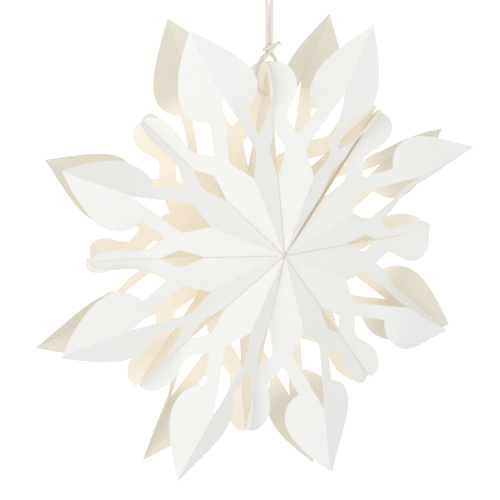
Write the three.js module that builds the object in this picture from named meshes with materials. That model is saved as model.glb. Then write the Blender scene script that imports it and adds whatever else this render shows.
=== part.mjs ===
// A hanging paper snowflake star.
//
// Eight hollow paper rays stand round one hub line. Each ray is a sleeve of four facets: a
// front pair that meets along a raised ridge fold, and the same pair at the back. Neighbouring
// rays are glued together over a triangular web that stands in a radial plane, so every web
// carries four facets, each hinged to it along a crease. The whole star folds flat like a fan
// between its two end webs, which adhesive pads hold together when it is open. It hangs on a
// twine sling that goes through a hole in one web, a knot, and a hanging loop.
//
// Units are millimetres. +Z is up, the hub line runs along Y, and the front faces -Y. The
// origin is the top of the hanging loop, where a hook takes it.

import * as THREE from 'three';

// ---- driving dimensions -------------------------------------------------------------------

const RIDGE_LENGTH = 150; // hub end to leaf tip, along the ridge fold
const HUB_HALF = 36; // half of the hub line
const WEB_REACH = 113.5; // hub line to the outer point of a web
const FACET_ANGLE = radians(25.3); // between a facet's crease and its ridge, laid flat

// How far each ray is open, in degrees, clockwise from the closing seam. A star that is opened
// by hand never comes out quite even.
const RAY_OPENINGS = [44, 50, 46, 41, 44, 46.5, 46.5, 42];
const CLOSING_SEAM = 45; // direction of the closing seam, degrees up from +X
const HANGING_WEB = 7; // the web that the twine goes through
const FOLD_SHARE = 0.77; // the share of each opening that the fan gives up when it folds

const PAPER = 0.25; // one sheet of card
const WEB_THICKNESS = 2 * PAPER; // two sheets, glued
const CREASE_GAP = 0.2; // between a web's face and a facet's near face, folded
const RIDGE_INSET = 1.7; // each facet stops this short of the ridge fold
const APEX_TRIM = 11; // facets start this far out, so that they clear each other folded
const WEB_TRIM = 9; // webs start this far from the hub line
const LOBE_CLEARANCE = 1.5; // lobes stop this short of the web's outer point
const FOLDED_TILT = radians(1); // of a facet from its web, folded

const PAD_THICKNESS = 0.4;
const PAD_SIZE = 9;
const PAD_GAP = 0.1;
const PAD_PLACES = [38, 70]; // distances of the adhesive pads from the hub line

const TWINE = 2.3; // diameter
const TWINE_SIDES = 8;
const HOLE_PLACE = 94; // the twine's hole, from the hub line
const HOLE_RADIUS = 2.2;
const KNOT_PLACE = 122.5; // the knot's centre, from the hub line
const KNOT_HALF_WIDTH = 3;
const KNOT_HALF_HEIGHT = 2.6;
const LOOP_HEIGHT = 50; // the knot's centre to the top of the hanging loop

// ---- paper pattern, as shares of the ridge length ------------------------------------------
// Ridge coordinates are (along the ridge from the hub end, across from the ridge). Crease
// coordinates are (along the crease from the hub end, across from the crease).

const RIDGE_HOLE_START = 0.338;
const RIDGE_HOLE_CORNER = [0.432, 0.073];
const RIDGE_HOLE_END = 0.7;
const LEAF_WIDEST = [0.725, 0.167];
const LEAF_BASE = [0.61, 0.088];
const CROTCH = [0.48, 0.122];
const LOBE_NECK = [0.556, 0.052];
const LOBE_WIDEST = [0.695, 0.08];
const SEAM_HOLE_START = 0.322;
const SEAM_HOLE_CORNER = [0.429, 0.038];
const SEAM_HOLE_END = 0.504;

// ---- the fold ------------------------------------------------------------------------------

const CREASE_DROP = Math.atan2(HUB_HALF, WEB_REACH); // of a crease, from square to the hub line
const CREASE_LENGTH = Math.hypot(HUB_HALF, WEB_REACH);
const CREASE_SHARE = CREASE_LENGTH / RIDGE_LENGTH;
const FRONT = new THREE.Vector3(0, -1, 0);

function radians(degrees) {
  return degrees * Math.PI / 180;
}

// The tilt of a facet from its web, about the crease, when its ridge lies a given angle off the
// web's plane.
function facetTilt(halfOpening) {
  const reach = Math.tan(halfOpening);
  const outward = Math.cos(FACET_ANGLE) * Math.cos(CREASE_DROP);
  const rising = Math.sin(FACET_ANGLE) * Math.sin(CREASE_DROP) * reach;
  const sideways = Math.sin(FACET_ANGLE);
  return Math.asin(outward * reach / Math.hypot(sideways, rising)) + Math.atan2(rising, sideways);
}

// The tilt that the rigid facet starts from. It closes at a constant rate, and its ridge may
// not cross the middle of the ray on the way, so it starts a little short of the true tilt.
function restTilt(opening) {
  const steps = 60;
  let tilt = facetTilt(opening / 2);
  for (let step = 0; step < steps; step += 1) {
    const closed = step / steps;
    const exact = facetTilt(opening / 2 * (1 - FOLD_SHARE * closed));
    tilt = Math.min(tilt, (exact - FOLDED_TILT * closed) / (1 - closed));
  }
  return tilt;
}

// ---- outlines ------------------------------------------------------------------------------

function creasePoint([along, across]) {
  return new THREE.Vector2(along, across).multiplyScalar(RIDGE_LENGTH);
}

function ridgePoint([along, across]) {
  const cos = Math.cos(FACET_ANGLE);
  const sin = Math.sin(FACET_ANGLE);
  return creasePoint([along * cos + across * sin, along * sin - across * cos]);
}

function lineTo(shape, point) {
  shape.lineTo(point.x, point.y);
}

function curveTo(shape, first, second, end) {
  shape.bezierCurveTo(first.x, first.y, second.x, second.y, end.x, end.y);
}

// One facet laid flat, its crease along X from the hub end, cut as a snowflake is cut.
function facetOutline() {
  const inset = RIDGE_INSET / RIDGE_LENGTH;
  const apex = APEX_TRIM / RIDGE_LENGTH;
  const lobeEnd = CREASE_SHARE - LOBE_CLEARANCE / RIDGE_LENGTH;
  const shape = new THREE.Shape();
  const start = creasePoint([apex, 0]);
  shape.moveTo(start.x, start.y);
  lineTo(shape, ridgePoint([apex, inset]));
  lineTo(shape, ridgePoint([RIDGE_HOLE_START, inset]));
  lineTo(shape, ridgePoint(RIDGE_HOLE_CORNER));
  lineTo(shape, ridgePoint([RIDGE_HOLE_END, inset]));
  lineTo(shape, ridgePoint([1 - 1.2 * inset, inset]));
  curveTo(shape, ridgePoint([0.93, 0.058]), ridgePoint([0.81, 0.167]), ridgePoint(LEAF_WIDEST));
  curveTo(shape, ridgePoint([0.66, 0.167]), ridgePoint([0.625, 0.13]), ridgePoint(LEAF_BASE));
  lineTo(shape, ridgePoint(CROTCH));
  lineTo(shape, creasePoint(LOBE_NECK));
  curveTo(shape, creasePoint([0.6, 0.045]), creasePoint([0.64, 0.08]), creasePoint(LOBE_WIDEST));
  curveTo(shape, creasePoint([0.76, 0.08]), creasePoint([lobeEnd, 0.05]), creasePoint([lobeEnd, 0]));
  lineTo(shape, creasePoint([SEAM_HOLE_END, 0]));
  lineTo(shape, creasePoint(SEAM_HOLE_CORNER));
  lineTo(shape, creasePoint([SEAM_HOLE_START, 0]));
  shape.closePath();
  return shape;
}

// A web is the triangle between the hub line and its outer point, with X outward from the hub
// line and Y towards the front.
function webOutline(hasTwineHole) {
  const innerHalf = HUB_HALF * (1 - WEB_TRIM / WEB_REACH);
  const shape = new THREE.Shape();
  shape.moveTo(WEB_TRIM, -innerHalf);
  shape.lineTo(WEB_REACH, 0);
  shape.lineTo(WEB_TRIM, innerHalf);
  shape.closePath();
  if (hasTwineHole) {
    const hole = new THREE.Path();
    hole.absarc(HOLE_PLACE, 0, HOLE_RADIUS, 0, 2 * Math.PI, true);
    shape.holes.push(hole);
  }
  return shape;
}

function sheet(outline, thickness) {
  const settings = { depth: thickness, bevelEnabled: false, curveSegments: 7 };
  const geometry = new THREE.ExtrudeGeometry(outline, settings);
  return geometry.translate(0, 0, -thickness / 2);
}

// ---- twine ---------------------------------------------------------------------------------

// The twine's routes, as [x, z] pairs in the plane of the loop, from the knot's centre.
const LOOP_SIDE = [[1.3, 2.8], [1.3, 9], [1.35, 19], [1.7, 29], [3.4, 38], [4.6, 44], [3.5, 48.4]];
const SLING_LEFT = [[-1.4, -3.2], [-4.6, -6], [-7.3, -11.5], [-7.8, -18.5], [-5.4, -25.4]];
const SLING_RIGHT = [[5.1, -25.4], [6.8, -18.5], [6.2, -11.5], [4.2, -6], [1.4, -3.2]];
const UPPER_TAIL = [[3.3, -0.9, 1.7], [4.8, -1.2, 2.9], [6.3, -1.3, 3.7]];
const LOWER_TAIL = [[-1.9, -2.9, -2.6], [-4.2, -3.4, -4.4], [-6.6, -3.7, -6.4]];

function twineTube(points, steps) {
  const curve = new THREE.CatmullRomCurve3(points.map((point) => new THREE.Vector3(...point)));
  const corners = [];
  for (let side = 0; side < TWINE_SIDES; side += 1) {
    const turn = radians(360 * side / TWINE_SIDES);
    corners.push(new THREE.Vector2(Math.cos(turn), Math.sin(turn)).multiplyScalar(TWINE / 2));
  }
  const section = new THREE.Shape(corners);
  return new THREE.ExtrudeGeometry(section, { steps, bevelEnabled: false, extrudePath: curve });
}

function hangingLoop() {
  const left = LOOP_SIDE.map(([x, z]) => [-x, 0, z]);
  const right = LOOP_SIDE.map(([x, z]) => [x, 0, z]).reverse();
  return twineTube([...left, [0, 0, LOOP_HEIGHT], ...right], 46);
}

function webSling() {
  const bottom = [0, HOLE_PLACE - KNOT_PLACE];
  const route = [...SLING_LEFT, bottom, ...SLING_RIGHT];
  return twineTube(route.map(([x, z]) => [x, 0, z]), 30);
}

function knot() {
  const geometry = new THREE.SphereGeometry(1, 14, 10);
  return geometry.scale(KNOT_HALF_WIDTH, KNOT_HALF_HEIGHT, KNOT_HALF_HEIGHT);
}

// ---- materials -----------------------------------------------------------------------------

const CARD = new THREE.MeshStandardMaterial({ color: 0xf4f2ee, roughness: 0.9, metalness: 0 });
const INNER_CARD = new THREE.MeshStandardMaterial({ color: 0xeee7d6, roughness: 0.9, metalness: 0 });
const COTTON = new THREE.MeshStandardMaterial({ color: 0xe2d8c2, roughness: 0.95, metalness: 0 });
const ADHESIVE = new THREE.MeshStandardMaterial({ color: 0xe9e6df, roughness: 0.6, metalness: 0 });

// ---- assembly ------------------------------------------------------------------------------

function named(name, geometry, material) {
  const mesh = new THREE.Mesh(geometry, material);
  mesh.name = name;
  return mesh;
}

// Stands a mesh at a point, with its X and Y along the two directions given.
function place(mesh, point, alongX, alongY) {
  const alongZ = new THREE.Vector3().crossVectors(alongX, alongY);
  mesh.quaternion.setFromRotationMatrix(new THREE.Matrix4().makeBasis(alongX, alongY, alongZ));
  mesh.position.copy(point);
  return mesh;
}

function outward(direction) {
  return new THREE.Vector3(Math.cos(direction), 0, Math.sin(direction));
}

// A web's row: its direction, its name, its thickness and how far its middle stands clockwise of
// its radial plane. The first and the last are single sheets, on either side of the pads.
function webRow(index, direction) {
  const apart = PAD_THICKNESS / 2 + PAD_GAP + PAPER / 2;
  const row = { index, direction: radians(direction) };
  if (index === 0) {
    return { ...row, name: 'end_web_first', thickness: PAPER, shift: apart };
  }
  if (index === RAY_OPENINGS.length) {
    return { ...row, name: 'end_web_last', thickness: PAPER, shift: -apart };
  }
  return { ...row, name: `web_${index}`, thickness: WEB_THICKNESS, shift: 0 };
}

// The webs in order, clockwise from the closing seam.
function webRows() {
  const rows = [webRow(0, CLOSING_SEAM)];
  let direction = CLOSING_SEAM;
  RAY_OPENINGS.forEach((opening, index) => {
    direction -= opening;
    rows.push(webRow(index + 1, direction));
  });
  return rows;
}

function webMesh(web) {
  const radial = outward(web.direction);
  const outline = webOutline(web.index === HANGING_WEB);
  const mesh = named(web.name, sheet(outline, web.thickness), INNER_CARD);
  const clockwise = new THREE.Vector3().crossVectors(radial, FRONT);
  return place(mesh, clockwise.multiplyScalar(web.shift), radial, FRONT);
}

// A facet is hinged to its web. turn is 1 for a facet clockwise of the web, or -1.
function facetMesh(name, web, turn, face, tilt) {
  const radial = outward(web.direction);
  const aside = new THREE.Vector3().crossVectors(radial, FRONT).multiplyScalar(turn);
  const facing = FRONT.clone().multiplyScalar(face);
  const fromPlane = Math.abs(web.shift) + web.thickness / 2 + CREASE_GAP + PAPER / 2;
  const hubEnd = facing.clone().multiplyScalar(HUB_HALF).addScaledVector(aside, fromPlane);
  const sin = Math.sin(CREASE_DROP);
  const cos = Math.cos(CREASE_DROP);
  const crease = radial.clone().multiplyScalar(cos).addScaledVector(facing, -sin);
  const flat = radial.clone().multiplyScalar(sin).addScaledVector(facing, cos);
  const across = flat.multiplyScalar(Math.cos(tilt)).addScaledVector(aside, Math.sin(tilt));
  return place(named(name, sheet(facetOutline(), PAPER), CARD), hubEnd, crease, across);
}

function rayMeshes(number, webs) {
  const tilt = restTilt(radians(RAY_OPENINGS[number - 1]));
  const meshes = [];
  for (const [faceName, face] of [['front', 1], ['back', -1]]) {
    meshes.push(facetMesh(`ray_${number}_${faceName}_left`, webs[number - 1], 1, face, tilt));
    meshes.push(facetMesh(`ray_${number}_${faceName}_right`, webs[number], -1, face, tilt));
  }
  return meshes;
}

function padMeshes(seam) {
  const radial = outward(seam);
  return PAD_PLACES.map((distance, index) => {
    const geometry = new THREE.BoxGeometry(PAD_SIZE, PAD_SIZE, PAD_THICKNESS);
    const mesh = named(`closing_pad_${index + 1}`, geometry, ADHESIVE);
    return place(mesh, radial.clone().multiplyScalar(distance), radial, FRONT);
  });
}

function star() {
  const group = new THREE.Group();
  const webs = webRows();
  group.add(...webs.map(webMesh));
  RAY_OPENINGS.forEach((_, index) => group.add(...rayMeshes(index + 1, webs)));
  group.add(...padMeshes(radians(CLOSING_SEAM)));
  const sling = named('web_sling', webSling(), COTTON);
  const radial = outward(webs[HANGING_WEB].direction);
  const sideways = new THREE.Vector3().crossVectors(radial, FRONT);
  const above = radial.clone().multiplyScalar(KNOT_PLACE);
  group.add(place(sling, above, sideways, new THREE.Vector3(0, 1, 0)));
  group.position.set(-above.x, 0, -above.z);
  return group;
}

function twine() {
  const group = new THREE.Group();
  group.add(named('hanging_loop', hangingLoop(), COTTON));
  group.add(named('twine_knot', knot(), COTTON));
  group.add(named('twine_tail_upper', twineTube(UPPER_TAIL, 4), COTTON));
  group.add(named('twine_tail_lower', twineTube(LOWER_TAIL, 5), COTTON));
  return group;
}

const snowflake = new THREE.Group();
snowflake.add(star(), twine());
snowflake.position.z = -(LOOP_HEIGHT + TWINE / 2);

export default snowflake;
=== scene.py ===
"""A hanging paper snowflake star: card rays and webs, a twine sling, a knot and a hanging loop.

Everything is in metres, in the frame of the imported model: +Z up, the front faces -Y, and the
origin is the top of the hanging loop.
"""

import math
import random

import bpy
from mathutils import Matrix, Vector, noise
from mathutils.geometry import delaunay_2d_cdt


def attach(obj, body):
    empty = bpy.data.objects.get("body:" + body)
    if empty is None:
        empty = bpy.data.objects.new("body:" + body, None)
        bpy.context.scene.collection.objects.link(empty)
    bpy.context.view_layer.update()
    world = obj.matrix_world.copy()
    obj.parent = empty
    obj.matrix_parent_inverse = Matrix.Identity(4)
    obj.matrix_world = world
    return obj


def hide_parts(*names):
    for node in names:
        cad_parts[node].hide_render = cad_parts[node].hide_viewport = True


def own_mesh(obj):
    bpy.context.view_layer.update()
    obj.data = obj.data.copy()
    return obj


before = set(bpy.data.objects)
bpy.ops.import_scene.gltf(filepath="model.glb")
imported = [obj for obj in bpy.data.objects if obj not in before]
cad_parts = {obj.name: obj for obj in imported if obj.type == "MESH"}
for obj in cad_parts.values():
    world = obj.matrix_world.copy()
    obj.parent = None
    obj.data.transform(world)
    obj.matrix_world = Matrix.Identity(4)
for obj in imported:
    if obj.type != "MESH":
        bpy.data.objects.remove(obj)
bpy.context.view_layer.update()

# ---- dimensions of the star, as in the CAD model -------------------------------------------

RIDGE_LENGTH = 0.150  # hub end to leaf tip
HUB_HALF = 0.036
WEB_REACH = 0.1135
FACET_ANGLE = math.radians(25.3)  # between a facet's crease and its ridge
RAY_OPENINGS = (44, 50, 46, 41, 44, 46.5, 46.5, 42)  # degrees, clockwise from the closing seam
CLOSING_SEAM = 45
PAPER = 0.00027
TWINE = 0.0023
HOLE_PLACE = 0.094
HOLE_RADIUS = 0.0022
KNOT_PLACE = 0.1225
LOOP_HEIGHT = 0.050

FRONT = Vector((0, -1, 0))
UP = Vector((0, 0, 1))
CREASE_DROP = math.atan2(HUB_HALF, WEB_REACH)
CREASE_SHARE = math.hypot(HUB_HALF, WEB_REACH) / RIDGE_LENGTH
KNOT = Vector((0, 0, -LOOP_HEIGHT - TWINE / 2))
WEB_NAMES = ["end_web_first", *[f"web_{i}" for i in range(1, 8)], "end_web_last"]
HANGING_WEB = "web_7"
WEB_DIRECTIONS = [math.radians(CLOSING_SEAM - sum(RAY_OPENINGS[:i])) for i in range(9)]


def outward(direction):
    return Vector((math.cos(direction), 0, math.sin(direction)))


HUB = KNOT - KNOT_PLACE * outward(WEB_DIRECTIONS[7])

# ---- camera --------------------------------------------------------------------------------

CAMERA_SIDE = math.radians(25.2)  # to the star's left
CAMERA_RISE = math.radians(9.6)
CAMERA_DISTANCE = 4.04
CAMERA_LENS = 474
AIM_LEFT = 0.00585  # of the hub, as the camera sees it
AIM_DOWN = 0.00191


def make_camera():
    side, rise = math.sin(CAMERA_SIDE), math.sin(CAMERA_RISE)
    level = math.cos(CAMERA_RISE)
    back = Vector((-side * level, -math.cos(CAMERA_SIDE) * level, rise))
    right = UP.cross(back).normalized()
    above = back.cross(right)
    data = bpy.data.cameras.new("camera")
    data.lens = CAMERA_LENS
    data.clip_end = 100
    camera = bpy.data.objects.new("camera", data)
    bpy.context.collection.objects.link(camera)
    camera.location = HUB - AIM_LEFT * right - AIM_DOWN * above + CAMERA_DISTANCE * back
    camera.rotation_mode = "QUATERNION"
    camera.rotation_quaternion = (-back).to_track_quat("-Z", "Y")
    bpy.context.scene.camera = camera


make_camera()

# ---- materials -----------------------------------------------------------------------------


class Nodes:
    """A material's node tree, built a node at a time."""

    def __init__(self, name, roughness, specular):
        self.material = bpy.data.materials.new(name)
        self.material.use_nodes = True
        self.tree = self.material.node_tree
        self.shader = self.tree.nodes["Principled BSDF"]
        self.shader.inputs["Roughness"].default_value = roughness
        self.shader.inputs["Specular IOR Level"].default_value = specular

    def add(self, kind, links=None, **values):
        node = self.tree.nodes.new(kind)
        for name, value in values.items():
            if name in node.inputs:
                node.inputs[name].default_value = value
            else:
                setattr(node, name, value)
        for name, source in (links or {}).items():
            self.tree.links.new(source, node.inputs[name])
        return node

    def noise(self, coordinates, scale, detail):
        links = {"Vector": coordinates}
        return self.add("ShaderNodeTexNoise", links, Scale=scale, Detail=detail).outputs["Fac"]

    def spread(self, value, low, high):
        """A noise value, around its middle, as a number from low to high."""
        links = {"Value": value}
        ends = {"From Min": 0.3, "From Max": 0.7, "To Min": low, "To Max": high}
        return self.add("ShaderNodeMapRange", links, **ends).outputs["Result"]

    def mix(self, factor, first, second):
        node = self.add("ShaderNodeMix", data_type="RGBA")
        self.tree.links.new(factor, node.inputs["Factor"])
        for socket, colour in (("A", first), ("B", second)):
            matching = [s for s in node.inputs if s.name == socket and s.type == "RGBA"][0]
            if hasattr(colour, "is_linked"):
                self.tree.links.new(colour, matching)
            else:
                matching.default_value = (*colour, 1)
        return [s for s in node.outputs if s.type == "RGBA"][0]

    def bump(self, height, distance, after=None):
        links = {"Height": height}
        if after is not None:
            links["Normal"] = after
        return self.add("ShaderNodeBump", links, Distance=distance).outputs["Normal"]

    def finish(self, colour, normal):
        self.tree.links.new(colour, self.shader.inputs["Base Color"])
        self.tree.links.new(normal, self.shader.inputs["Normal"])
        return self.material

    # Painted light: an emission that makes a surface glow though it is no lamp.
    def glow(self, colour, strength):
        self.shader.inputs["Emission Color"].default_value = (*colour, 1)
        self.shader.inputs["Emission Strength"].default_value = strength


def card(name, colour, shade, leaf_shade_colour, crease_shade_colour, glow, strength):
    """Uncoated card: cloudy tone, fine fibres, painted shade along the folds and out on the
    leaves, and a faint painted glow that stands in for daylight coming through a thin sheet."""
    nodes = Nodes(name, roughness=0.92, specular=0.22)
    nodes.shader.inputs["Sheen Weight"].default_value = 0.08
    place = nodes.add("ShaderNodeTexCoord").outputs["Object"]
    clouds = nodes.spread(nodes.noise(place, 38, 3), 0, 1)
    # Painted shade: out on the leaves the colour turns darker.
    leaves = nodes.add("ShaderNodeAttribute", attribute_name="leaf").outputs["Fac"]
    toned = nodes.mix(leaves, nodes.mix(clouds, colour, shade), leaf_shade_colour)
    # Painted shade: a grainy darker colour along the folds, where the creases lie in shade.
    folds = nodes.add("ShaderNodeAttribute", attribute_name="fold").outputs["Fac"]
    fibres = nodes.noise(place, 1500, 4)
    crease_shade = nodes.add("ShaderNodeMath", {0: folds, 1: fibres}, operation="MULTIPLY").outputs[0]
    crease_shaded = nodes.mix(crease_shade, toned, crease_shade_colour)
    felt = nodes.bump(nodes.noise(place, 420, 5), 0.00006)
    # Painted light: the card glows faintly, in place of daylight coming through the sheet.
    nodes.glow(glow, strength)
    return nodes.finish(crease_shaded, nodes.bump(fibres, 0.00002, felt))


def cotton():
    """Cotton twine: long fibres along each ply, with paler and darker ones."""
    nodes = Nodes("cotton", roughness=0.95, specular=0.15)
    nodes.shader.inputs["Sheen Weight"].default_value = 0.3
    lay = nodes.add("ShaderNodeUVMap", uv_map="fibre").outputs["UV"]
    streaks = nodes.noise(lay, 9, 4)
    place = nodes.add("ShaderNodeTexCoord").outputs["Object"]
    tone = nodes.mix(nodes.spread(streaks, 0, 1), (0.98, 0.94, 0.885), (0.92, 0.85, 0.765))
    fuzz = nodes.noise(place, 2600, 3)
    return nodes.finish(tone, nodes.bump(fuzz, 0.00005, nodes.bump(streaks, 0.00012)))


def foam():
    """White foam tape, with fine pores."""
    nodes = Nodes("foam", roughness=0.7, specular=0.3)
    place = nodes.add("ShaderNodeTexCoord").outputs["Object"]
    pores = nodes.noise(place, 2200, 2)
    tone = nodes.mix(nodes.spread(pores, 0, 1), (0.88, 0.87, 0.84), (0.78, 0.77, 0.73))
    return nodes.finish(tone, nodes.bump(pores, 0.00008))


# Outer faces: a faint painted glow, a painted shade a little greyer out on the leaves, and painted
# shade along the creases.
OUTER_CARD = card(
    "outer_card", colour=(0.95, 0.95, 0.936), shade=(0.935, 0.935, 0.92),
    leaf_shade_colour=(0.945, 0.945, 0.934), crease_shade_colour=(0.90, 0.88, 0.84),
    glow=(1, 1, 0.98), strength=0.03,
)
# Inner faces: a warmer tone and a warm painted glow stand in for the light that bounces inside the
# star and comes through the card; out on the leaves the colour is a much darker painted shade, and
# the creases carry painted shade too.
INNER_CARD = card(
    "inner_card", colour=(0.965, 0.94, 0.885), shade=(0.955, 0.925, 0.86),
    leaf_shade_colour=(0.72, 0.695, 0.615), crease_shade_colour=(0.90, 0.84, 0.74),
    glow=(1, 0.935, 0.81), strength=0.16,
)
# Webs: a warm tone and a warm painted glow stand in for the light inside the star, and painted
# shade runs along their edges.
WEB_CARD = card(
    "web_card", colour=(0.95, 0.90, 0.80), shade=(0.93, 0.87, 0.76),
    leaf_shade_colour=(0.95, 0.90, 0.80), crease_shade_colour=(0.82, 0.74, 0.60),
    glow=(1, 0.90, 0.70), strength=0.07,
)
COTTON = cotton()
FOAM = foam()

# ---- meshes --------------------------------------------------------------------------------

ROW_SHARE = 0.866  # the height of an even triangle, as a share of its side


def new_piece(name, points, faces, materials):
    mesh = bpy.data.meshes.new(name)
    mesh.from_pydata(points, [], faces)
    for material in materials:
        mesh.materials.append(material)
    piece = bpy.data.objects.new(name, mesh)
    bpy.context.collection.objects.link(piece)
    return piece


def smoothstep(low, high, value):
    share = min(1.0, max(0.0, (value - low) / (high - low)))
    return share * share * (3 - 2 * share)


def inside(point, loop):
    x, y = point
    crossings = 0
    for (x1, y1), (x2, y2) in zip(loop, loop[1:] + loop[:1]):
        if (y1 > y) != (y2 > y) and x < x1 + (y - y1) * (x2 - x1) / (y2 - y1):
            crossings += 1
    return crossings % 2 == 1


def grid_points(loop, holes, spacing):
    """Points on a triangular grid inside a loop, clear of its edge and of the holes."""
    xs, ys = [p[0] for p in loop], [p[1] for p in loop]
    edges = loop + [p for hole in holes for p in hole]
    found = []
    rows = int((max(ys) - min(ys)) / (spacing * ROW_SHARE)) + 1
    for row in range(rows):
        y = min(ys) + row * spacing * ROW_SHARE
        for column in range(int((max(xs) - min(xs)) / spacing) + 1):
            point = (min(xs) + (column + 0.5 * (row % 2)) * spacing, y)
            clear = all(math.dist(point, edge) > 0.5 * spacing for edge in edges)
            if clear and inside(point, loop) and not any(inside(point, hole) for hole in holes):
                found.append(point)
    return found


def flat_mesh(loop, holes, spacing):
    """Triangles that fill a loop around its holes: (points, faces)."""
    points, edges = [], []
    for ring in [loop, *holes]:
        first = len(points)
        points += ring
        edges += [(first + i, first + (i + 1) % len(ring)) for i in range(len(ring))]
    points += grid_points(loop, holes, spacing)
    made = delaunay_2d_cdt([Vector(p) for p in points], edges, [], 1, 1e-7)
    corners, faces = made[0], made[2]

    def in_hole(face):
        middle = [sum(corners[i][axis] for i in face) / 3 for axis in (0, 1)]
        return any(inside(middle, hole) for hole in holes)

    return [tuple(c) for c in corners], [f for f in faces if not in_hole(f)]


def sheet_piece(name, flat, surface, materials):
    """A sheet of card. surface(x, y) gives a point's place, the half thickness there as a vector
    towards the outer face, and how near it is to a fold and how far out on a leaf, from 0 to 1."""
    corners, faces = flat
    placed = [surface(*corner) for corner in corners]
    outer = [place + half for place, half, _, _ in placed]
    inner = [place - half for place, half, _, _ in placed]
    a, b, c = (outer[i] for i in faces[0])
    if (b - a).cross(c - a).dot(placed[faces[0][0]][1]) < 0:
        faces = [face[::-1] for face in faces]
    count = len(corners)
    sides = {(f[i], f[(i + 1) % 3]) for f in faces for i in range(3)}
    rim = [(j, i, count + i, count + j) for i, j in sorted(sides) if (j, i) not in sides]
    back = [tuple(count + i for i in face[::-1]) for face in faces]
    piece = new_piece(name, outer + inner, [*faces, *back, *rim], materials)
    if len(materials) == 2:
        kinds = [0] * len(faces) + [1] * len(back) + [0] * len(rim)
        piece.data.polygons.foreach_set("material_index", kinds)
    smooth = [True] * (len(faces) + len(back)) + [False] * len(rim)
    piece.data.polygons.foreach_set("use_smooth", smooth)
    border = {i % count for face in rim for i in face}
    rim_edges = [all(i % count in border for i in edge.vertices) for edge in piece.data.edges]
    sharp = piece.data.attributes.new("sharp_edge", "BOOLEAN", "EDGE")
    sharp.data.foreach_set("value", rim_edges)
    for attribute, column in (("fold", 2), ("leaf", 3)):
        shares = piece.data.attributes.new(attribute, "FLOAT", "POINT")
        shares.data.foreach_set("value", [point[column] for point in placed] * 2)
    return piece


# ---- twine ---------------------------------------------------------------------------------

# The routes of the CAD model, in millimetres from the knot's centre: (across, up) for the loop
# and the sling, and (right, back, up) for the two cut ends.
LOOP_SIDE = ((1.3, 2.8), (1.3, 9), (1.35, 19), (1.7, 29), (3.4, 38), (4.6, 44), (3.5, 48.4))
SLING_LEFT = ((-1.4, -3.2), (-4.6, -6), (-7.3, -11.5), (-7.8, -18.5), (-5.4, -25.4))
SLING_RIGHT = ((5.1, -25.4), (6.8, -18.5), (6.2, -11.5), (4.2, -6), (1.4, -3.2))
UPPER_TAIL = ((3.3, -0.9, 1.7), (4.8, -1.2, 2.9), (6.3, -1.3, 3.7))
LOWER_TAIL = ((-1.9, -2.9, -2.6), (-4.2, -3.4, -4.4), (-6.6, -3.7, -6.4))

PLIES = 3
PLY_RADIUS = 0.30 * TWINE
PLY_OFFSET = 0.26 * TWINE
PLY_PITCH = 2.9 * TWINE
PLY_SIDES = 8
RING_STEP = 0.00045
SPLINE_STEPS = 24  # between two points of a route
PLY_SPREAD = 0.9  # how much farther apart the plies stand at a frayed end
PLY_LEAN = 0.0007
STRAY_FIBRES = 5  # at each ply's cut end
STRAY_RADII = (0.00016, 0.00014, 0.0001, 0.00005)


def millimetres(points):
    return [Vector(point) / 1000 for point in points]


def spline(points):
    """A smooth route through points, as close even steps."""
    ends = [2 * points[0] - points[1], *points, 2 * points[-1] - points[-2]]
    fine = []
    for a, b, c, d in zip(ends, ends[1:], ends[2:], ends[3:]):
        for step in range(SPLINE_STEPS):
            t = step / SPLINE_STEPS
            bend = (2 * a - 5 * b + 4 * c - d) * t * t + (3 * b - a - 3 * c + d) * t ** 3
            fine.append(b + 0.5 * ((c - a) * t + bend))
    fine.append(points[-1])
    route, spare = [fine[0]], 0.0
    for start, end in zip(fine, fine[1:]):
        length = (end - start).length
        while spare + length >= RING_STEP:
            start = start.lerp(end, (RING_STEP - spare) / length)
            length = (end - start).length
            route.append(start)
            spare = 0.0
        spare += length
    return [*route, points[-1]]


def frames_along(route):
    """A direction and two directions across it at each point, turning as little as they can."""
    frames = []
    across = None
    for index in range(len(route)):
        ahead = route[min(index + 1, len(route) - 1)] - route[max(index - 1, 0)]
        ahead.normalize()
        if across is None:
            across = ahead.orthogonal()
        across = (across - across.dot(ahead) * ahead).normalized()
        frames.append((ahead, across, ahead.cross(across)))
    return frames


def tube(centres, frames, radii, sides, along, points, faces, fibres):
    """Adds a closed tube round the centres, with a fibre coordinate for each corner."""
    first = len(points)
    for index, (centre, (_, x, y)) in enumerate(zip(centres, frames)):
        for side in range(sides):
            turn = math.tau * side / sides
            points.append(centre + radii[index] * (math.cos(turn) * x + math.sin(turn) * y))
            fibres.append((along[index], 6 * abs(2 * side / sides - 1)))
    for index in range(len(centres) - 1):
        ring = first + index * sides
        for side in range(sides):
            beside = (side + 1) % sides
            faces.append((ring + side, ring + beside, ring + sides + beside, ring + sides + side))
    last = first + (len(centres) - 1) * sides
    faces.append(tuple(first + side for side in reversed(range(sides))))
    faces.append(tuple(last + side for side in range(sides)))


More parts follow.
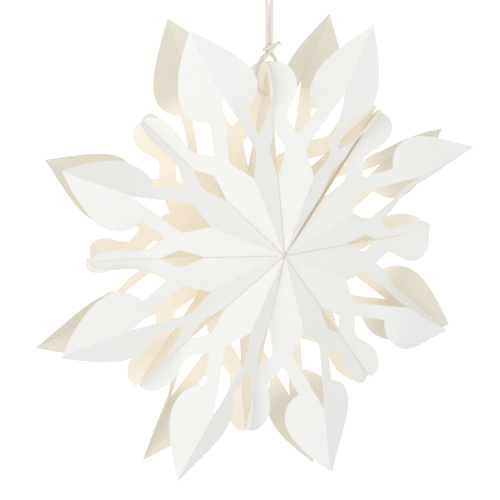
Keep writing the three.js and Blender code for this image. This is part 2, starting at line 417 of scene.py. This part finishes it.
def twine_mesh(name, routes, frayed=False):
    """Twisted twine along each route: three plies that wind round its middle."""
    points, faces, fibres = [], [], []
    chance = random.Random(name)
    for route in routes:
        frames = frames_along(route)
        count = len(route)
        for ply in range(PLIES):
            centres, radii = [], []
            lean = Vector([chance.uniform(-1, 1) for _ in range(3)]) * PLY_LEAN
            for index, (centre, (_, x, y)) in enumerate(zip(route, frames)):
                turn = math.tau * (index * RING_STEP / PLY_PITCH + ply / PLIES)
                loose = smoothstep(0.55, 1, index / count) if frayed else 0
                offset = PLY_OFFSET * (1 + PLY_SPREAD * loose)
                beside = offset * (math.cos(turn) * x + math.sin(turn) * y)
                centres.append(centre + beside + loose * lean)
                radii.append(PLY_RADIUS * (1 - 0.25 * loose) * (1 + 0.06 * chance.uniform(-1, 1)))
            turned = frames_along(centres)
            along = [2 * index * RING_STEP / TWINE for index in range(count)]
            tube(centres, turned, radii, PLY_SIDES, along, points, faces, fibres)
            if frayed:
                fray(centres[-1], frames[-1][0], chance, points, faces, fibres)
    piece = new_piece(name, points, faces, [COTTON])
    uv = piece.data.uv_layers.new(name="fibre")
    for loop in piece.data.loops:
        uv.data[loop.index].uv = fibres[loop.vertex_index]
    piece.data.polygons.foreach_set("use_smooth", [len(face) == 4 for face in faces])
    return piece


def fray(end, ahead, chance, points, faces, fibres):
    """Loose fibres that stand out of a ply's cut end."""
    for _ in range(STRAY_FIBRES):
        stray = Vector([chance.uniform(-1, 1) for _ in range(3)])
        way = (ahead + 0.75 * stray).normalized()
        start = end - 0.0006 * ahead + 0.0002 * stray
        length = chance.uniform(0.0008, 0.0019)
        curl = Vector([chance.uniform(-1, 1) for _ in range(3)]) * 0.35 * length
        route = [start + way * length * t + curl * t * t for t in (0, 0.33, 0.66, 1)]
        tube(route, frames_along(route), STRAY_RADII, 5, range(4), points, faces, fibres)


def route_length(route):
    return sum((b - a).length for a, b in zip(route, route[1:]))


def make_hanging_loop():
    left = [(-x, 0, z) for x, z in LOOP_SIDE]
    right = [(x, 0, z) for x, z in reversed(LOOP_SIDE)]
    shape = millimetres([*left, (0, 0, 1000 * LOOP_HEIGHT), *right])
    route = spline([KNOT + point for point in shape])
    piece = twine_mesh("twine_hanging_loop", [route])
    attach(piece, "twine_loop")
    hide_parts("hanging_loop")
    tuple(route[0])
    route_length(route)


def make_sling():
    radial = outward(WEB_DIRECTIONS[7])
    aside = radial.cross(FRONT)
    bottom = (0, 1000 * (HOLE_PLACE - KNOT_PLACE))
    shape = millimetres([(x, 0, z) for x, z in (*SLING_LEFT, bottom, *SLING_RIGHT)])
    route = spline([KNOT + aside * point.x + radial * point.z for point in shape])
    piece = twine_mesh("twine_sling", [route])
    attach(piece, "star_hub")
    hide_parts("web_sling")
    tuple(route[0])
    route_length(route)


def make_knot():
    """Two strands that cross inside one turn of twine, which rises to the right in front."""
    strands = [
        ((-1.3, 0, 3), (-0.9, 0.2, 1.2), (0.9, 0.4, -1.2), (1.4, 0, -3.4)),
        ((1.3, 0, 3), (0.9, -0.1, 1.2), (-0.9, -0.5, -1.2), (-1.4, 0, -3.4)),
    ]
    wrap = (
        LOWER_TAIL[0], (0.3, -2.75, -0.6), (2.2, -2.0, 0.9), (2.9, 0.3, 1.3), (1.2, 2.3, 0.3),
        (-1.6, 2.1, -0.5), (-3.0, 0.2, -0.4), (-1.9, -1.9, 0.6), (0.6, -2.2, 1.9), UPPER_TAIL[0],
    )
    shapes = [millimetres(strand) for strand in (*strands, wrap)]
    routes = [spline([KNOT + point for point in shape]) for shape in shapes]
    piece = twine_mesh("twine_knot_wrap", routes)
    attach(piece, "star_hub")
    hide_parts("twine_knot")


def make_tail(name, node, points):
    route = spline([KNOT + point for point in millimetres(points)])
    piece = twine_mesh(name, [route], frayed=True)
    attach(piece, "star_hub")
    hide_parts(node)


make_hanging_loop()
make_sling()
make_knot()
make_tail("twine_cut_end_upper", "twine_tail_upper", UPPER_TAIL)
make_tail("twine_cut_end_lower", "twine_tail_lower", LOWER_TAIL)

# ---- the paper pattern ---------------------------------------------------------------------
# Shares of the ridge length. Ridge coordinates are (along the ridge from the hub end, across
# from the ridge), and crease coordinates the same from the crease.

APEX = 0.007
RIDGE_HOLE = ((0.338, 0), (0.432, 0.073), (0.70, 0))
LEAF_WIDEST = (0.725, 0.167)
LEAF_BASE = (0.61, 0.088)
CROTCH = (0.48, 0.122)
LOBE_NECK = (0.556, 0.052)
LOBE_WIDEST = (0.695, 0.08)
SEAM_HOLE = ((0.504, 0), (0.429, 0.038), (0.322, 0))
CORNER_CUT = 0.008  # how far a cut rounds a corner
EDGE_STEP = 0.0145
CURVE_STEPS = 14


def from_ridge(point):
    """Ridge coordinates as crease coordinates."""
    along, across = point
    cos, sin = math.cos(FACET_ANGLE), math.sin(FACET_ANGLE)
    return (along * cos + across * sin, along * sin - across * cos)


def bezier(a, b, c, d):
    """The points of a curve from a to d, without its ends."""
    found = []
    for step in range(1, CURVE_STEPS):
        t = step / CURVE_STEPS
        shares = ((1 - t) ** 3, 3 * t * (1 - t) ** 2, 3 * t * t * (1 - t), t ** 3)
        found.append(tuple(sum(s * p[i] for s, p in zip(shares, (a, b, c, d))) for i in (0, 1)))
    return found


def short_of(corner, other):
    """The point where a rounded corner starts, on the way to the other point."""
    share = min(0.45, CORNER_CUT / math.dist(corner, other))
    return tuple(c + (o - c) * share for c, o in zip(corner, other))


def rounded(before, corner, after):
    """A corner that a knife rounds, as three points."""
    enter, leave = short_of(corner, before), short_of(corner, after)
    middle = tuple(0.25 * a + 0.5 * c + 0.25 * b for a, c, b in zip(enter, corner, leave))
    return [enter, middle, leave]


def divided(loop):
    """The loop with its long edges cut into even steps."""
    found = []
    for a, b in zip(loop, loop[1:] + loop[:1]):
        parts = max(1, round(math.dist(a, b) / EDGE_STEP))
        found += [tuple(x + (y - x) * i / parts for x, y in zip(a, b)) for i in range(parts)]
    return found


def facet_loop():
    """One facet's outline, laid flat, in crease coordinates."""
    widest, base, crotch = map(from_ridge, (LEAF_WIDEST, LEAF_BASE, CROTCH))
    tip, lobe_end = from_ridge((1, 0)), (CREASE_SHARE, 0)
    hole = [from_ridge(point) for point in RIDGE_HOLE]
    leaf = bezier(tip, from_ridge((0.93, 0.058)), from_ridge((0.81, 0.167)), widest)
    shoulder = bezier(widest, from_ridge((0.66, 0.167)), from_ridge((0.625, 0.13)), base)
    neck = bezier(LOBE_NECK, (0.6, 0.045), (0.64, 0.08), LOBE_WIDEST)
    lobe = bezier(LOBE_WIDEST, (0.76, 0.08), (CREASE_SHARE, 0.05), lobe_end)
    return divided([
        (APEX, 0), from_ridge((APEX, 0)),
        hole[0], *rounded(*hole), hole[2],
        tip, *leaf, widest, *shoulder,
        *rounded(shoulder[-1], base, crotch), *rounded(base, crotch, LOBE_NECK),
        *rounded(crotch, LOBE_NECK, neck[0]), *neck, LOBE_WIDEST, *lobe, lobe_end,
        SEAM_HOLE[0], *rounded(*SEAM_HOLE), SEAM_HOLE[2],
    ])


FACET_GRID = 0.028
FACET = flat_mesh(facet_loop(), [], FACET_GRID)

# ---- rays ----------------------------------------------------------------------------------

CREASE_OFFSET = 0.0003  # a facet's crease, from the middle of its web
SEAM_OFFSET = 0.0011  # the same at the closing seam, which gapes a little
RIDGE_GAP = 0.00003  # from a facet's ridge edge to the middle of its ray
LEAF_BOW = 0.0016
LOBE_BOW = 0.0009
NOTCH = 0.125  # the leaf lies farther than this from the crease, and the lobe nearer
WAVE = 0.0005
WAVES_A_METRE = 22
LEAF_BEND = (0.5, 0.72)  # along the ridge, where a leaf starts to turn and where it has turned
TIP_BEND = (0.6, 1)  # the same for the lean of its tip
LOBE_BEND = (0.5, 0.66)  # along the crease, the same for a lobe
LOBE_EDGE = (NOTCH, 0.085)  # across from the crease, where a lobe's turn has faded and where not
SEAM_REACH = (0, 0.2)  # along the crease, where the closing seam starts to gape and where it does
CREASE_SHADE_REACH = 0.008  # how far from a crease its painted shade reaches

# How hanging and handling have bent the card. Degrees that each leaf half turns about its ridge
# and each lobe about its crease, positive towards the outer face: (left facet, right facet).
LEAF_TURN = {
    "ray_1_front": (15, -32), "ray_1_back": (-22, 0),
    "ray_2_front": (-50, 20), "ray_2_back": (-5, 0),
    "ray_3_front": (4, 0),
    "ray_4_back": (0, -20),
    "ray_5_front": (0, 10), "ray_5_back": (0, -20),
    "ray_6_front": (10, -15), "ray_6_back": (0, -10),
    "ray_7_front": (0, 32), "ray_7_back": (20, 0),
    "ray_8_front": (-22, 22),
}
LOBE_TURN = {
    "ray_1_front": (10, 10),
    "ray_4_front": (32, -20), "ray_4_back": (20, 0),
    "ray_5_front": (35, 40),
    "ray_6_front": (25, 35),
    "ray_7_front": (25, 45),
    "ray_8_front": (0, 38),
}
# How much wider than its pattern each lobe is cut, as a share.
LOBE_SPARE = {"ray_1_front": (0.25, 0), "ray_2_front": (0.4, 0), "ray_8_front": (0.35, 0)}
# Millimetres that a leaf's tip leans: (outward, clockwise, away from the star's middle plane).
TIP_LEAN = {
    "ray_1_front": (-1.5, 2.5, -6), "ray_1_back": (1, -2, 2),
    "ray_2_front": (-3, 4, -12),
    "ray_3_front": (-2, 4, -4),
    "ray_4_front": (1, 3, -2), "ray_4_back": (-2, 1, 1),
    "ray_5_front": (3, 3, -2),
    "ray_6_front": (2, -1, -2), "ray_6_back": (-2, 2, 0),
    "ray_7_front": (0, -3, -2), "ray_7_back": (1.5, 0, 1),
    "ray_8_front": (1, 2, 0),
}


def facet_tilt(half_opening):
    """The tilt of a facet from its web, when its ridge lies that angle off the web's plane."""
    reach = math.tan(half_opening)
    level = math.cos(FACET_ANGLE) * math.cos(CREASE_DROP)
    rising = math.sin(FACET_ANGLE) * math.sin(CREASE_DROP) * reach
    sideways = math.sin(FACET_ANGLE)
    return math.asin(level * reach / math.hypot(sideways, rising)) + math.atan2(rising, sideways)


def body_of_web(name):
    return "star_hub" if name == HANGING_WEB else f"{name}_leaf"


def make_facet(number, face, turn):
    """turn is 1 for the facet on the ray's counterclockwise web, and -1 for the other one."""
    web = number - 1 if turn == 1 else number
    half = math.radians(RAY_OPENINGS[number - 1]) / 2
    radial = outward(WEB_DIRECTIONS[web])
    aside = radial.cross(FRONT) * turn
    facing = FRONT * face
    middle = radial * math.cos(half) + aside * math.sin(half)
    sideways = aside * math.cos(half) - radial * math.sin(half)
    crease = radial * math.cos(CREASE_DROP) - facing * math.sin(CREASE_DROP)
    flat = radial * math.sin(CREASE_DROP) + facing * math.cos(CREASE_DROP)
    tilt = facet_tilt(half)
    across = flat * math.cos(tilt) + aside * math.sin(tilt)
    normal = crease.cross(across)
    if normal.dot(facing) < 0:
        normal = -normal
    apex = HUB + facing * HUB_HALF + middle * CREASE_OFFSET / math.sin(half)
    at_seam = WEB_NAMES[web].startswith("end")
    spare = aside * (SEAM_OFFSET - CREASE_OFFSET if at_seam else 0)
    at_ridge = normal - normal.dot(sideways) * sideways
    at_ridge *= PAPER / 2 / at_ridge.dot(normal)
    at_crease = normal - aside
    at_crease *= PAPER / 2 / at_crease.dot(normal)
    leaf = f"ray_{number}_{'front' if face == 1 else 'back'}"
    name = f"{leaf}_{'left' if turn == 1 else 'right'}"
    half_of_leaf = 0 if turn == 1 else 1
    leaf_turn = math.radians(LEAF_TURN.get(leaf, (0, 0))[half_of_leaf])
    lobe_turn = math.radians(LOBE_TURN.get(leaf, (0, 0))[half_of_leaf])
    lobe_spare = LOBE_SPARE.get(leaf, (0, 0))[half_of_leaf]
    lean = Vector(TIP_LEAN.get(leaf, (0, 0, 0))) / 1000
    lean = lean.x * middle + lean.y * middle.cross(FRONT) + lean.z * facing
    ridge = crease * math.cos(FACET_ANGLE) + across * math.sin(FACET_ANGLE)
    off_ridge = crease * math.sin(FACET_ANGLE) - across * math.cos(FACET_ANGLE)
    chance = random.Random(name)
    leaf_bow = LEAF_BOW * chance.uniform(-0.3, 1)
    lobe_bow = LOBE_BOW * chance.uniform(-0.4, 1)

    def surface(x, y):
        along, over = from_ridge((x, y))  # the change of coordinates is its own inverse
        share = math.atan2(y, x) / FACET_ANGLE  # 0 on the crease, 1 on the ridge
        if y > NOTCH:
            angle = leaf_turn * smoothstep(*LEAF_BEND, along)
            arm = off_ridge * math.cos(angle) + normal * math.sin(angle)
            out = normal * math.cos(angle) - off_ridge * math.sin(angle)
            place = apex + RIDGE_LENGTH * (along * ridge + over * arm)
            place += lean * smoothstep(*TIP_BEND, along) ** 1.3
        else:
            lobe = smoothstep(*LOBE_BEND, x) * smoothstep(*LOBE_EDGE, y)
            angle = lobe_turn * lobe
            arm = across * math.cos(angle) + normal * math.sin(angle)
            arm *= 1 + lobe_spare * lobe
            out = normal * math.cos(angle) - across * math.sin(angle)
            place = apex + RIDGE_LENGTH * (x * crease + y * arm)
        place += spare * (1 - share) * smoothstep(*SEAM_REACH, x)
        bow = leaf_bow * smoothstep(0.55, 0.8, along) * (over / LEAF_WIDEST[1]) ** 2
        spoon = min(1, y / LOBE_WIDEST[1]) ** 2 * smoothstep(NOTCH, 0.08, y)
        bow += lobe_bow * smoothstep(0.5, 0.7, x) * spoon
        wave = noise.noise(place * WAVES_A_METRE + Vector((number, face, 0)))
        bow += WAVE * wave * math.sin(math.pi * min(1, max(0, share))) ** 0.7
        half_sheet = out * PAPER / 2
        if over < 1e-6:
            half_sheet = at_ridge
            place -= sideways * RIDGE_GAP
        elif y < 1e-6:
            half_sheet = at_crease
        # How far out on a leaf, which sets the painted shade of the leaves.
        leaf_share = smoothstep(0.6, 0.72, along) if y > NOTCH else 0.3 * smoothstep(0.5, 0.62, x)
        # Near the crease, which sets the painted shade along it.
        fold = 0.5 * smoothstep(CREASE_SHADE_REACH, 0, y)
        return place + bow * out, half_sheet, fold, leaf_share

    piece = sheet_piece(f"card_{name}", FACET, surface, [OUTER_CARD, INNER_CARD])
    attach(piece, body_of_web(WEB_NAMES[web]))
    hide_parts(name)
    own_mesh(piece)


for number in range(1, len(RAY_OPENINGS) + 1):
    for face in (1, -1):
        for turn in (1, -1):
            make_facet(number, face, turn)

# ---- webs ----------------------------------------------------------------------------------

WEB_START = 0.0035  # from the hub line
END_WEB_START = 0.0075  # farther out, so that an end web clears its neighbour when folded
WEB_SHEET = 0.00023
GLUE_LINE = 0.00004  # between the two sheets of a web
EDGE_RECESS = 0.0001
PAD_PLACES = (0.038, 0.070)
PAD_SIZE = 0.009
PAD_THICKNESS = 0.0004
END_WEB_OFFSET = 0.000425
WEB_STEP = 0.0045
WEB_GRID = 0.006
HOLE_SIDES = 20
PAD_SIDES = 32
PAD_GRID = 0.0012


def web_loop(start):
    """The web's triangle, with x outward from the hub line and y towards the front."""
    reach = WEB_REACH - EDGE_RECESS
    half = (HUB_HALF - EDGE_RECESS) * (1 - start / reach)
    corners = [(start, -half), (reach, 0), (start, half)]
    found = []
    for a, b in zip(corners, corners[1:] + corners[:1]):
        parts = round(math.dist(a, b) / WEB_STEP)
        found += [tuple(p + (q - p) * i / parts for p, q in zip(a, b)) for i in range(parts)]
    return found


def circle(x, y, radius, sides):
    turns = [math.tau * side / sides for side in range(sides)]
    return [(x + radius * math.cos(turn), y + radius * math.sin(turn)) for turn in turns]


TWINE_HOLE = circle(HOLE_PLACE, 0, HOLE_RADIUS, HOLE_SIDES)
WEB = flat_mesh(web_loop(WEB_START), [], WEB_GRID)
END_WEB = flat_mesh(web_loop(END_WEB_START), [], WEB_GRID)
WEB_WITH_HOLE = flat_mesh(web_loop(WEB_START), [TWINE_HOLE], WEB_GRID)


def joined(name, first, second):
    """Two pieces as one, under a new name."""
    with bpy.context.temp_override(
        active_object=first, selected_editable_objects=[first, second]
    ):
        bpy.ops.object.join()
    first.name = name
    return first


def web_sheet(name, index, offset, side):
    """One sheet of a web. side is 1 where its outer face looks clockwise, or -1."""
    radial = outward(WEB_DIRECTIONS[index])
    clockwise = radial.cross(FRONT)
    gapes = WEB_NAMES[index].startswith("end")
    flat = END_WEB if gapes else WEB
    if WEB_NAMES[index] == HANGING_WEB:
        flat = WEB_WITH_HOLE

    def surface(x, y):
        edge = abs(y) / (HUB_HALF * (1 - x / WEB_REACH) + 1e-6)
        apart = 0.0
        if gapes:
            spread = max(min(1, edge), smoothstep(0.07, WEB_REACH, x)) ** 2
            apart = (SEAM_OFFSET - END_WEB_OFFSET) * spread * smoothstep(0, 0.03, x)
        place = HUB + radial * x + FRONT * y + clockwise * (offset + side * apart)
        # Near the web's edges, where it meets the facets: this sets the painted shade along them.
        fold = smoothstep(0.85, 1, edge)
        return place, clockwise * side * WEB_SHEET / 2, fold, 0

    return sheet_piece(name, flat, surface, [WEB_CARD])


def make_web(index):
    name = WEB_NAMES[index]
    if name == "end_web_first":
        piece = web_sheet(f"card_{name}", index, END_WEB_OFFSET, 1)
    elif name == "end_web_last":
        piece = web_sheet(f"card_{name}", index, -END_WEB_OFFSET, -1)
    else:
        apart = (WEB_SHEET + GLUE_LINE) / 2
        sheets = [web_sheet(f"{name}_sheet", index, side * apart, side) for side in (1, -1)]
        piece = joined(f"card_{name}", *sheets)
    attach(piece, body_of_web(name))
    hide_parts(name)


for index in range(len(WEB_NAMES)):
    make_web(index)


def make_pad(number, place):
    """A square of foam tape with soft corners, thinner towards its cut edges."""
    radial = outward(WEB_DIRECTIONS[0])
    clockwise = radial.cross(FRONT)
    half = PAD_SIZE / 2
    loop = []
    for step in range(PAD_SIDES):
        turn = math.tau * step / PAD_SIDES
        x, y = math.cos(turn), math.sin(turn)
        size = half / (abs(x) ** 5 + abs(y) ** 5) ** 0.2
        loop.append((size * x, size * y))
    flat = flat_mesh(loop, [], PAD_GRID)

    def surface(x, y):
        edge = max(abs(x), abs(y)) / half
        thin = 1 - 0.35 * smoothstep(0.86, 1.0, edge)
        centre = HUB + radial * (place + x) + FRONT * y
        return centre, clockwise * thin * PAD_THICKNESS / 2, 0, 0

    piece = sheet_piece(f"foam_pad_{number}", flat, surface, [FOAM])
    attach(piece, body_of_web("end_web_last"))
    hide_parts(f"closing_pad_{number}")


for number, place in enumerate(PAD_PLACES, 1):
    make_pad(number, place)

# ---- stage ---------------------------------------------------------------------------------

FLOOR_LEVEL = -1.1
FLOOR_HALF = 30
FLOOR_GLOW = {"From Min": 1.5, "From Max": 3.5, "To Min": 0, "To Max": 0.6}  # by the distance
SKY_COLOUR = (1, 1, 0.99)
SKY_STRENGTH = 0.67


def make_floor():
    square = ((-1, -1), (1, -1), (1, 1), (-1, 1))
    corners = [(x * FLOOR_HALF, y * FLOOR_HALF, FLOOR_LEVEL) for x, y in square]
    nodes = Nodes("floor", roughness=0.9, specular=0.1)
    place = nodes.add("ShaderNodeTexCoord").outputs["Object"]
    far = nodes.add("ShaderNodeVectorMath", {0: place}, operation="LENGTH").outputs["Value"]
    glow = nodes.add("ShaderNodeMapRange", {"Value": far}, **FLOOR_GLOW).outputs["Result"]
    nodes.shader.inputs["Base Color"].default_value = (0.9, 0.9, 0.9, 1)
    nodes.shader.inputs["Emission Color"].default_value = (1, 1, 1, 1)
    nodes.tree.links.new(glow, nodes.shader.inputs["Emission Strength"])
    new_piece("floor", corners, [(0, 1, 2, 3)], [nodes.material])


def make_light(name, place, size, power, colour):
    data = bpy.data.lights.new(name, "AREA")
    data.size = size
    data.energy = power
    data.color = colour
    light = bpy.data.objects.new(name, data)
    bpy.context.collection.objects.link(light)
    light.location = place
    light.rotation_mode = "QUATERNION"
    light.rotation_quaternion = (HUB - light.location).to_track_quat("-Z", "Y")
    light.visible_camera = False


def make_sky():
    world = bpy.data.worlds.new("studio")
    world.use_nodes = True
    background = world.node_tree.nodes["Background"]
    background.inputs["Color"].default_value = (*SKY_COLOUR, 1)
    background.inputs["Strength"].default_value = SKY_STRENGTH
    bpy.context.scene.world = world


make_floor()
make_sky()
make_light("key", place=(-2.3, -1.8, 0.8), size=1.6, power=13.5, colour=(1, 0.998, 0.99))
bpy.context.scene.view_settings.view_transform = "Standard"
